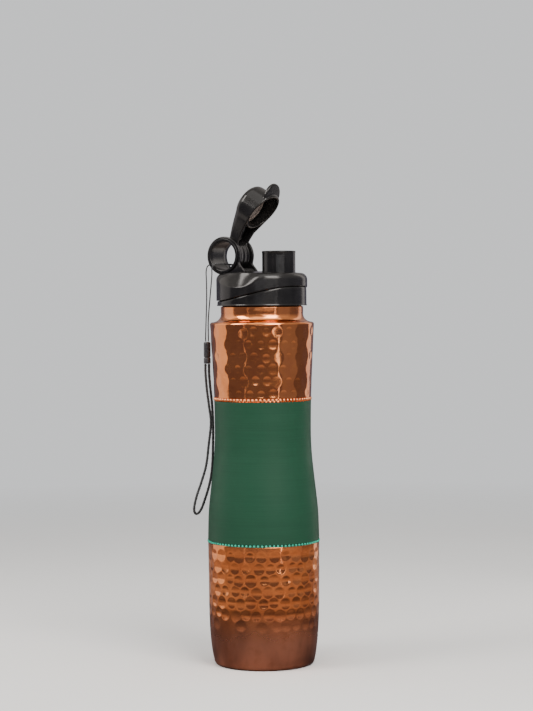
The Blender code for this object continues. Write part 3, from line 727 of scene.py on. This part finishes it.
def make_ribs():
    """Small ribs on the lid's top that the arm comes to rest on."""
    profile = rounded([(-15.4, 261.4), (-14.6, 263.6), (-12.6, 265.6), (-10.8, 265.3),
                       (-9.2, 263.9), (-7.6, 262.6), (-7.0, 261.4)], 0.3, 0.7)
    rows = [(-0.85, 0.35), (-0.75, 0.1), (-0.45, 0.0), (0.45, 0.0), (0.75, 0.1), (0.85, 0.35)]
    places, faces = [], []
    for middle in (-4.6, -1.6, 1.6, 4.6):
        first = len(places)
        places += [(x, middle + across, max(z - drop, 261.2))
                   for across, drop in rows for x, z in profile]
        faces += grid_faces(len(rows), len(profile), wrap_columns=False, first=first)
        faces += end_faces(len(rows), len(profile), first)
    lid_piece("arm_ribs", places, faces, crease=50.0)


def skirt_section(angle):
    """The skirt's section at one angle: under its plate, up its outer side and over the plate."""
    step = step_height(angle) - 0.05
    outer = [(SKIRT_BORE + 0.3, LID_BOTTOM), (SKIRT_RADIUS + 0.25, LID_BOTTOM),
             (SKIRT_RADIUS + 0.3, LID_BOTTOM + 0.5), (SKIRT_RADIUS, LID_BOTTOM + 0.9),
             (SKIRT_RADIUS, step - 1.7), (SKIRT_RADIUS - 0.06, step - 1.1),
             (SKIRT_RADIUS - 0.24, step - 0.55), (SKIRT_RADIUS - 0.55, step - 0.15),
             (SKIRT_RADIUS - 1.5, step)]
    r, z = resampled(rounded(outer, 0.2, 0.3), 60)
    low_r = [0.0, 3.4, NECK_RADIUS + 0.6, SKIRT_BORE, SKIRT_BORE]
    low_z = [251.8, 251.8, 251.8, 250.4, LID_BOTTOM + 0.6]
    top_r = [28.3, 28.2, 26.6, 3.4, 0.0]
    top_z = [step + 0.2, max(step + 0.4, 250.4), 254.2, 254.2, 254.2]
    return np.concatenate([low_r, r, top_r]), np.concatenate([low_z, z, top_z])


def make_skirt():
    """The threaded skirt below the wavy line, with the plate that seals the neck."""
    places, faces = round_lid(skirt_section, 240)
    ridge, more = helix_ridge(SKIRT_BORE, SKIRT_BORE - 1.0, 243.9, first=len(places))
    skirt = lid_piece("lid_skirt", np.vstack([places, ridge]), faces + more, ["threaded_cap"])
    hole = [(0.0, 250.0), (SPOUT_BORE, 250.0), (SPOUT_BORE, 258.0), (0.0, 258.0)]
    cut(skirt, "hole", *turned(hole, 96, (SPOUT_X, 0.0), closed=False))
    skirt.data.set_sharp_from_angle(angle=math.radians(38))


def make_spout():
    """The drinking spout with its foot flange and a small bead round its rim."""
    flange = 12.6
    outline = [(SPOUT_BORE, 255.6), (flange, 255.6), (flange, 256.7), (flange - 0.2, 256.9),
               (SPOUT_RADIUS + 0.2, 257.0), (SPOUT_RADIUS + 0.02, 257.4)]
    outline += [(SPOUT_RADIUS - 0.004 * k, 260.0 + 2.3 * k) for k in range(7)]
    outline += [(SPOUT_RADIUS, SPOUT_TOP - 1.35), (SPOUT_RADIUS + 0.12, SPOUT_TOP - 1.15),
                (SPOUT_RADIUS + 0.12, SPOUT_TOP - 0.55)]
    outline += arc(SPOUT_RADIUS - 0.33, SPOUT_TOP - 0.45, 0.45, 0, 90, 5)
    outline += arc(SPOUT_BORE + 0.4, SPOUT_TOP - 0.4, 0.4, 90, 180, 5)
    outline += [(SPOUT_BORE, 272.0), (SPOUT_BORE, 264.0)]
    lid_piece("spout_tube", *turned(outline, 144, (SPOUT_X, 0.0)), ["drinking_spout"])


def make_sleeve():
    """Hollow hinge pin with a flange, and the snap ring on its other end."""
    bore, shank, flange = 9.7, 10.5, 11.6
    outline = [(bore, -10.7), (bore + 0.15, -10.9), (shank - 0.1, -10.9), (shank, -10.7),
               (shank, -10.5), (shank - 0.4, -10.45), (shank - 0.4, -9.75), (shank, -9.7),
               (shank, 9.75), (shank + 0.5, 9.8), (flange - 0.1, 9.8), (flange, 9.9)]
    outline += arc(flange - 0.4, 10.1, 0.4, 0, 90, 5) + [(shank, 10.5)]
    outline += arc(bore + 0.6, 9.9, 0.6, 90, 180, 6)
    outline += [(bore, 6.0), (bore, 5.7), (bore + 0.1, 5.6), (bore + 0.1, -5.6), (bore, -5.7),
                (bore, -6.0)]
    places, faces = turned(outline, 160)
    lid_piece("hinge_pin", along_y(places), faces, ["hinge_sleeve"])
    ring = [(10.4, -10.25), (10.5, -10.35), (11.4, -10.35), (11.55, -10.2), (11.55, -9.95),
            (11.4, -9.8), (10.5, -9.8), (10.4, -9.9)]
    places, faces = turned(ring, 160)
    lid_piece("pin_ring", along_y(places), faces, ["sleeve_snap_ring"])


make_cover()
make_cheeks()
make_ribs()
make_skirt()
make_spout()
make_sleeve()


# -------- flip cap, shaped by distances

# The cap is drawn shut, with its arm along X. Its top follows a curve fitted to this line.
CAP_TOP_LINE = [(-15.0, 277.0), (-9.8, 278.1), (-1.6, 279.5), (6.0, 280.1), (11.0, 280.3),
                (20.0, 280.3), (30.0, 280.3)]
CAP_TOP_FIT = np.polyfit(*np.array(CAP_TOP_LINE).T, 4)
CUP_RADIUS, CUP_BORE, CAP_CEILING = 13.8, 12.4, 278.8
CAP_WALL, CAP_EDGE = 1.6, 4.5
CUP_RIM, CUP_RIM_SLOPE, ARM_UNDERSIDE = 265.6, 13.0, 269.6
BARREL_RADIUS, BARREL_BORE, BARREL_HALF = 11.7, 10.8, 7.1
GRIP_HEIGHT, GRIP_PITCH = 0.16, 4.7
ARM_START, ARM_END, ARM_WIDEST, ARM_BACK = -13.0, 12.1, 12.8, -17.6
TAB_X, TAB_Z, TAB_SLOPE, TAB_RADIUS, TAB_HALF = 25.7, 265.3, 0.21, 8.8, 1.05
CAP_BOX_LOW, CAP_BOX_HIGH, CAP_STEP = (-37.0, -15.0, 259.0), (37.0, 15.0, 287.0), 0.42


def join(one, two, reach):
    """Smooth union of two distance fields."""
    h = np.clip(0.5 + 0.5 * (two - one) / reach, 0.0, 1.0)
    return two + (one - two) * h - reach * h * (1 - h)


def carve(one, two, reach):
    """Smoothly take the second distance field away from the first."""
    return -join(-one, two, reach)


def both(one, two, corner):
    """Intersection with a rounded corner."""
    a, b = one + corner, two + corner
    return np.minimum(np.maximum(a, b), 0) + np.hypot(np.maximum(a, 0), np.maximum(b, 0)) - corner


def cap_plan(x, y, inset):
    """Distance to the top view's outline: a narrow arm that widens into the round cup."""
    gain, length = ARM_WIDEST - BARREL_HALF, ARM_END - ARM_START
    half = BARREL_HALF + gain * smooth_step(x, ARM_START, ARM_END)
    from_middle = (x - (ARM_START + ARM_END) / 2) / (length / 2)
    slope = np.hypot(1.0, 1.5 * gain / length * np.clip(1 - from_middle ** 2, 0, 1))
    arm = np.maximum((np.abs(y) - half) / slope, x - 8.2)
    cup = np.hypot(x - SPOUT_X, y) - CUP_RADIUS
    return join(arm, cup, 0.8) + inset


def flip_field(x, y, z):
    """Distance to the shut flip cap: body, channel, thumb tab, barrel, and the two hollows."""
    top = np.polyval(CAP_TOP_FIT, np.clip(x, -24.0, 28.0))
    rounding = CAP_EDGE * (0.5 + 0.5 * smooth_step(x, -9.0, 6.0))
    fall = math.tan(math.radians(CUP_RIM_SLOPE))
    bottom = np.minimum(ARM_UNDERSIDE, CUP_RIM - fall * (x - SPOUT_X))
    body = both(cap_plan(x, y, 0.0), z - top, rounding)
    body = both(body, bottom - z, 0.35)
    body = np.maximum(body, ARM_BACK - x)

    from_cup = np.hypot(x - SPOUT_X, y)
    channel = both(cap_plan(x, y, 1.5), z - (top - CAP_WALL), 0.55 * rounding)
    channel = both(channel, CUP_RADIUS - from_cup, 0.8)
    body = carve(body, channel, 0.5)

    u = (x - TAB_X) * math.cos(TAB_SLOPE) + (z - TAB_Z) * math.sin(TAB_SLOPE)
    w = -(x - TAB_X) * math.sin(TAB_SLOPE) + (z - TAB_Z) * math.cos(TAB_SLOPE)
    tab = both(np.hypot(u, y) - TAB_RADIUS, np.abs(w) - TAB_HALF, 0.6)
    tab = np.maximum(tab, -5.0 - u)
    body = join(body, tab, 1.0)

    from_hinge = np.hypot(x - HINGE.x, z - HINGE.z)
    ridges = GRIP_HEIGHT * np.cos(y * math.tau / GRIP_PITCH)
    barrel = both(from_hinge - BARREL_RADIUS + 0.2 - ridges, np.abs(y) - BARREL_HALF, 0.45)
    body = join(body, barrel, 1.6)

    hollow = both(from_cup - CUP_BORE, z - CAP_CEILING, 2.2)
    body = carve(body, hollow, 0.45)
    return carve(body, from_hinge - BARREL_BORE, 0.3)


def neighbours(axis, rest):
    """Two slices of a grid that pair each point with the next one along an axis."""
    near, far = [rest] * 3, [rest] * 3
    near[axis], far[axis] = slice(0, -1), slice(1, None)
    return tuple(near), tuple(far)


def skin_points(values, inside):
    """Which cells the zero surface crosses, and the mean of its crossings in each of them."""
    shape = np.array(values.shape)
    total = np.zeros((*(shape - 1), 3))
    crossings = np.zeros(tuple(shape - 1))
    for axis in range(3):
        near, far = neighbours(axis, slice(None))
        a, b = values[near], values[far]
        crossed = inside[near] != inside[far]
        share = np.where(crossed, a / np.where(crossed, a - b, 1.0), 0.0)
        one, two = [k for k in range(3) if k != axis]
        for p, q in ((0, 0), (0, 1), (1, 0), (1, 1)):
            pick = [slice(None)] * 3
            pick[one] = slice(p, shape[one] - 1 + p)
            pick[two] = slice(q, shape[two] - 1 + q)
            hit = crossed[tuple(pick)]
            total[..., axis] += np.where(hit, share[tuple(pick)], 0.0)
            total[..., one] += hit * p
            total[..., two] += hit * q
            crossings += hit
    used = crossings > 0
    return used, total[used] / crossings[used][:, None]


def skin_quads(inside, used):
    """Quads that join the four cells round each grid edge that the zero surface crosses."""
    index = -np.ones(used.shape, int)
    index[used] = np.arange(used.sum())
    quads = []
    for axis in range(3):
        one, two = [k for k in range(3) if k != axis]
        near, far = neighbours(axis, slice(1, -1))
        base = np.argwhere(inside[near] != inside[far])
        base[:, one] += 1
        base[:, two] += 1
        corners = []
        for p, q in ((0, 0), (1, 0), (1, 1), (0, 1)):
            cell = base.copy()
            cell[:, one] -= p
            cell[:, two] -= q
            corners.append(index[tuple(cell.T)])
        quads.append(np.stack(corners, 1))
    return np.vstack(quads).tolist()


def skin_field(field, low, high, step):
    """Points and quads of a distance field's zero surface, by surface nets."""
    axes = [np.arange(a, b + step, step) for a, b in zip(low, high)]
    values = field(*np.meshgrid(*axes, indexing="ij"))
    inside = values < 0
    used, mean = skin_points(values, inside)
    places = np.array(low) + (np.argwhere(used) + mean) * step
    nudge = 0.02
    for _ in range(3):
        slope = np.stack([(field(*(places + shift).T) - field(*(places - shift).T)) / (2 * nudge)
                          for shift in nudge * np.eye(3)], 1)
        size = np.maximum((slope ** 2).sum(1), 0.05)
        move = -(field(*places.T) / size)[:, None] * slope
        too_far = np.maximum(np.linalg.norm(move, axis=1) / (0.5 * step), 1.0)
        places = places + move / too_far[:, None]
    return places, skin_quads(inside, used)


def opened(places):
    """Turn points drawn with the flip cap shut to its open place."""
    turn = math.radians(FLIP_OPEN_ANGLE)
    x, y, z = np.asarray(places, float).T
    x, z = x - HINGE.x, z - HINGE.z
    return np.stack([x * math.cos(turn) - z * math.sin(turn) + HINGE.x, y,
                     x * math.sin(turn) + z * math.cos(turn) + HINGE.z], 1)


def make_flip():
    """The flip cap, and its seal with a groove for the spout's rim. Both are drawn shut."""
    places, faces = skin_field(flip_field, CAP_BOX_LOW, CAP_BOX_HIGH, CAP_STEP)
    piece_from("flip_top", opened(places), faces, PLASTIC, "flip", "lid_plastic", ["flip_cap"],
               crease=62.0)
    floor = SPOUT_TOP + 0.3
    face, back, end = floor - 2.0, floor + 0.7, CAP_CEILING - 0.3
    seal = [(0.0, face), (8.7, face), (9.1, face + 0.1), (9.25, face + 0.4), (9.3, floor - 0.2),
            (9.5, floor), (11.3, floor), (11.45, floor - 0.15), (11.45, face + 0.2), (11.6, face),
            (12.0, face), (12.1, face + 0.2), (12.1, back - 0.2), (11.9, back), (5.4, back),
            (5.4, end), (0.0, end)]
    places, faces = turned(seal, 96, (SPOUT_X, 0.0), closed=False)
    piece_from("cup_seal", opened(places), faces, SILICONE, "flip", "silicone", ["spout_seal"])


make_flip()


# -------- lanyard

def even_route(route, spacing):
    """Evenly spaced points on the smooth curve through a route."""
    fine = through(route, 24 * (len(route) - 1) + 1)
    along = distances(fine)
    count = max(2, round(along[-1] / spacing))
    even = np.linspace(0, along[-1], count + 1)
    return np.stack([np.interp(even, along, fine[:, k]) for k in range(3)], 1), along[-1]


def frames_along(path):
    """Two sideways directions that don't twist along a path."""
    tangent = np.gradient(path, axis=0)
    tangent /= np.linalg.norm(tangent, axis=1)[:, None]
    side = np.cross(tangent[0], (0.31, 0.95, 0.11))
    sides = []
    for direction in tangent:
        side = side - direction * (side @ direction)
        side = side / np.linalg.norm(side)
        sides.append(side)
    sides = np.array(sides)
    return sides, np.cross(tangent, sides)


def tube(line, path, side, size, corners, first):
    """Points and faces of one strand, whose ring's first corner looks away from the path."""
    step = np.gradient(line, axis=0)
    step /= np.linalg.norm(step, axis=1)[:, None]
    out = line - path
    out = np.where(np.linalg.norm(out, axis=1)[:, None] < 1e-6, side, out)
    out = out - step * (out * step).sum(1)[:, None]
    out /= np.linalg.norm(out, axis=1)[:, None]
    up = np.cross(step, out)
    ring = np.linspace(0, math.tau, corners, endpoint=False)[:, None]
    places = line[:, None] + size * (np.cos(ring) * out[:, None] + np.sin(ring) * up[:, None])
    faces = grid_faces(len(line), corners, first=first) + end_faces(len(line), corners, first)
    return places.reshape(-1, 3), faces


def strands_along(path, strands, spread, radius, pitch, weave=0.0, core=0.0):
    """Twisted or plaited strands along an even path, with a core inside them if it has a size."""
    side, other = frames_along(path)
    along = distances(path)
    tubes = []
    for direction in ((1, -1) if weave else (1,)):
        for k in range(strands):
            turn = direction * (along / pitch * math.tau + math.tau * k / strands)[:, None]
            phase = along / pitch * strands * math.tau + math.tau * k / 2
            reach = (spread + weave * direction * np.cos(phase))[:, None]
            tubes.append((path + reach * (np.cos(turn) * side + np.sin(turn) * other), radius, 6))
    if core:
        tubes.append((path, core, 8))
    places, faces = [], []
    for line, size, corners in tubes:
        first = sum(len(part) for part in places)
        ring, more = tube(line, path, side, size, corners, first)
        places.append(ring)
        faces += more
    return np.vstack(places), faces


CORD_STEP = 0.3
FX, FY = FERRULE_PLACE
TOP, LOW = FERRULE_HIGH + 0.3, FERRULE_LOW - 0.3
SIDE_X, SIDE_Y = 1.2 * 0.86, 1.2 * 0.51
STRING_ROUTE = [(FX + 0.8, FY + 0.4, TOP), (FX + 0.8, FY + 0.4, TOP + 4), (FX + 0.9, FY + 0.4, 231),
                (FX + 2.6, FY + 0.3, 247), (FX + 4.4, FY - 0.3, 260), (-31.2, -13.0, 265.6),
                (-30.3, -12.3, 267.8), (-30.0, -9.5, 268.4), (-30.0, 0.0, 268.4),
                (-30.0, 8.5, 268.4), (-30.4, 11.6, 268.3), (-32.2, 13.1, 268.0),
                (-34.9, 12.8, 267.8), (-36.6, 10.2, 268.0), (-36.9, 6.0, 268.2),
                (-36.9, -3.0, 268.2), (-36.8, -9.0, 267.2), (-36.4, -12.0, 263.6),
                (-35.6, -13.0, 256.0), (-35.6, -13.0, 244.0), (FX - 0.3, FY - 0.5, 231),
                (FX - 0.8, FY - 0.4, TOP + 4), (FX - 0.8, FY - 0.4, TOP)]
WRIST_ROUTE = [(FX - SIDE_X, FY - SIDE_Y, LOW), (FX - SIDE_X, FY - SIDE_Y, LOW - 6),
               (-36.1, -12.9, 184), (-34.7, -12.6, 173), (-33.4, -12.4, 161.5), (-34.6, -13.4, 147),
               (-36.0, -14.6, 133), (-38.5, -16.6, 122), (-41.4, -18.4, 112),
               (-43.2, -18.9, 104), (-43.8, -16.7, 100.2), (-43.5, -13.4, 99.9),
               (-42.6, -10.5, 103), (-41.0, -8.8, 109), (-38.9, -7.6, 116.5),
               (-37.1, -6.9, 125), (-36.0, -6.7, 135), (-35.4, -6.8, 148), (-34.9, -7.4, 161),
               (-34.7, -8.8, 174), (-34.9, -10.6, 186), (FX + SIDE_X, FY + SIDE_Y, LOW - 6),
               (FX + SIDE_X, FY + SIDE_Y, LOW)]


def make_cord(name, route, node, **plait):
    """One cord's strands along its route: the piece, its path and its length."""
    path, length = even_route(route, CORD_STEP)
    places, faces = strands_along(path, **plait)
    item = piece_from(name, places, faces, CORD, "lid", "cord", [node], crease=80.0)
    return item, path, length


def make_ferrule():
    """The dark sleeve that both cords enter, with a groove near its lower end."""
    low, high, radius = FERRULE_LOW, FERRULE_HIGH, 2.35
    outline = [(0.0, low + 0.3), (1.7, low + 0.3), (1.9, low)]
    outline += arc(radius - 0.4, low + 0.4, 0.4, -90, 0, 4) + [(radius, low + 3.5)]
    outline += arc(radius, low + 4.2, 0.45, -110, -250, 8)
    outline += [(radius, low + 4.9), (radius, low + 8.0), (radius, high - 1.5)]
    outline += arc(radius - 1.1, high - 1.1, 1.1, 0, 80, 6)
    outline += [(1.0, high - 0.02), (0.8, high - 0.3), (0.0, high - 0.3)]
    return piece_from("cord_ferrule", *turned(outline, 64, FERRULE_PLACE, closed=False), FERRULE,
                      "lid", "ferrule", ["strap_ferrule"])


def make_lanyard():
    """The string, the wrist loop and the ferrule."""
    string, string_path, string_length = make_cord(
        "thin_string", STRING_ROUTE, "hitch_string", strands=3, spread=0.24, radius=0.25, pitch=3.4)
    wrist, wrist_path, wrist_length = make_cord(
        "braided_loop", WRIST_ROUTE, "wrist_cord", strands=4, spread=0.58, radius=0.32, pitch=7.0,
        weave=0.10, core=0.55)
    ferrule = make_ferrule()


make_lanyard()


# -------- CAD pieces that show

for node, material in (("base_disc", COPPER), ("neck_gasket", SILICONE),
                       ("spout_gasket", SILICONE)):
    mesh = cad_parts[node].data
    mesh.materials.clear()
    mesh.materials.append(material)


# -------- studio and lights

RINGS = (0.16, 0.23, 0.46, 0.66)
DIM_RINGS = [(0.040, 0.039, 0.048), (0.15, 0.12, 0.115), (0.15, 0.12, 0.115), (0.12, 0.11, 0.13)]
BRIGHT_RINGS = [(0.12, 0.105, 0.11), (0.30, 0.235, 0.20), (0.30, 0.235, 0.20), (0.15, 0.14, 0.15)]
LIGHT_AIM = 0.25

# Name, degrees to the right of the camera, then distance, height, width and tallness in metres,
# watts, and warmth from 1 for white down to orange.
LIGHTS = [
    ("left_panel", -106.0, 0.44, 0.30, 0.34, 0.59, 0.60, 0.84),
    ("left_line", -39.0, 0.43, 0.30, 0.005, 0.59, 0.022, 0.75),
    ("right_panel", 131.0, 0.42, 0.30, 0.13, 0.59, 0.26, 0.86),
    ("right_fill", 63.0, 0.46, 0.30, 0.32, 0.59, 0.085, 1.0),
    ("key_strip", 36.0, 0.43, 0.30, 0.012, 0.59, 0.10, 0.88),
    ("warm_patch", 17.0, 0.85, 0.30, 0.36, 0.30, 0.06, 0.55),
    ("ceiling", 12.0, 0.40, 1.20, 1.2, 1.0, 5.4, 0.92),
    ("front_top", 30.0, 0.75, 0.90, 0.5, 0.60, 10.5, 0.90),
    ("left_high", -66.0, 0.60, 0.76, 0.30, 0.46, 5.0, 0.90),
    ("front_low", 22.0, 0.75, 0.53, 0.50, 0.26, 1.4, 0.86),
    ("brow_strip", 8.0, 1.15, 0.315, 1.10, 0.030, 0.55, 1.0),
]


def floor_material():
    """A pale floor that fades out at its rim. In reflections it is darker, in rings and patches."""
    n = Surface("pale_floor")
    cloud = n.noise(3.0, 4.0)
    pale = n.mix(cloud, (0.60, 0.595, 0.585), (0.65, 0.645, 0.635))
    ray = n.add("ShaderNodeLightPath").outputs["Is Glossy Ray"]
    n.bump((n.noise(400.0, 3.0), 0.00005))
    n.set(Specular_IOR_Level=0.0)
    radius = n.add("ShaderNodeVectorMath", {0: n.place}, operation="LENGTH").outputs["Value"]
    outward = n.span(radius, 0.0, 1.0, 0.0, 1.3)
    dim = n.ramp(outward, list(zip(RINGS, DIM_RINGS)))
    bright = n.ramp(outward, list(zip(RINGS, BRIGHT_RINGS)))
    mirrored = n.mix(n.span(n.noise(13.0, 3.0), 0.0, 1.0, 0.38, 0.62), dim, bright)
    n.feed(n.shader.inputs["Alpha"], n.span(radius, 1.0, 0.0, 0.75, 1.30))
    return n.finish(n.mix(ray, pale, mirrored), n.span(cloud, 0.5, 0.65))


def make_stage():
    """A round floor whose rim fades into the pale studio behind it."""
    material = floor_material()
    rings = [(0.0, 0.0), (400.0, 0.0), (900.0, 0.0), (1320.0, 0.0)]
    places, faces = turned(rings, 96, closed=False)
    mesh = bpy.data.meshes.new("studio_floor")
    mesh.from_pydata((places * MM).tolist(), [], faces)
    mesh.materials.append(material)
    mesh.shade_smooth()
    placed("studio_floor", mesh)


def add_light(name, turn, distance, height, width, tall, power, warmth):
    """A soft panel that faces the bottle."""
    data = bpy.data.lights.new(name, "AREA")
    data.shape = "RECTANGLE"
    data.size, data.size_y = width, tall
    data.energy = power
    data.color = (1.0, 0.5 + 0.5 * warmth, warmth)
    light = placed(name, data)
    angle = math.radians(CAMERA_TURN + turn)
    light.location = (distance * math.cos(angle), distance * math.sin(angle), height)
    aim = Vector((0.0, 0.0, min(height, LIGHT_AIM))) - light.location
    light.rotation_euler = aim.to_track_quat("-Z", "Y").to_euler()
    light.visible_camera = False


def make_world():
    """A pale studio. In reflections it is a room, dim low down and lighter above."""
    world = bpy.data.worlds.new("studio")
    bpy.context.scene.world = world
    n = Nodes(world)
    upward = n.add("ShaderNodeSeparateXYZ", {"Vector": n.coordinates["Generated"]}).outputs["Z"]
    room = n.tree.nodes["Background"]
    n.feed(room.inputs["Color"], n.ramp(upward, [(0.04, (0.17, 0.16, 0.21)),
                                                 (0.62, (0.62, 0.57, 0.53))]))
    pale = n.add("ShaderNodeBackground", {"Color": (0.80, 0.81, 0.82, 1.0), "Strength": 1.05})
    ray = n.add("ShaderNodeLightPath").outputs["Is Glossy Ray"]
    seen = n.add("ShaderNodeMixShader", {0: ray, 1: pale.outputs["Background"],
                                         2: room.outputs["Background"]})
    n.feed(n.tree.nodes["World Output"].inputs["Surface"], seen.outputs["Shader"])


make_stage()
for light in LIGHTS:
    add_light(*light)
make_world()
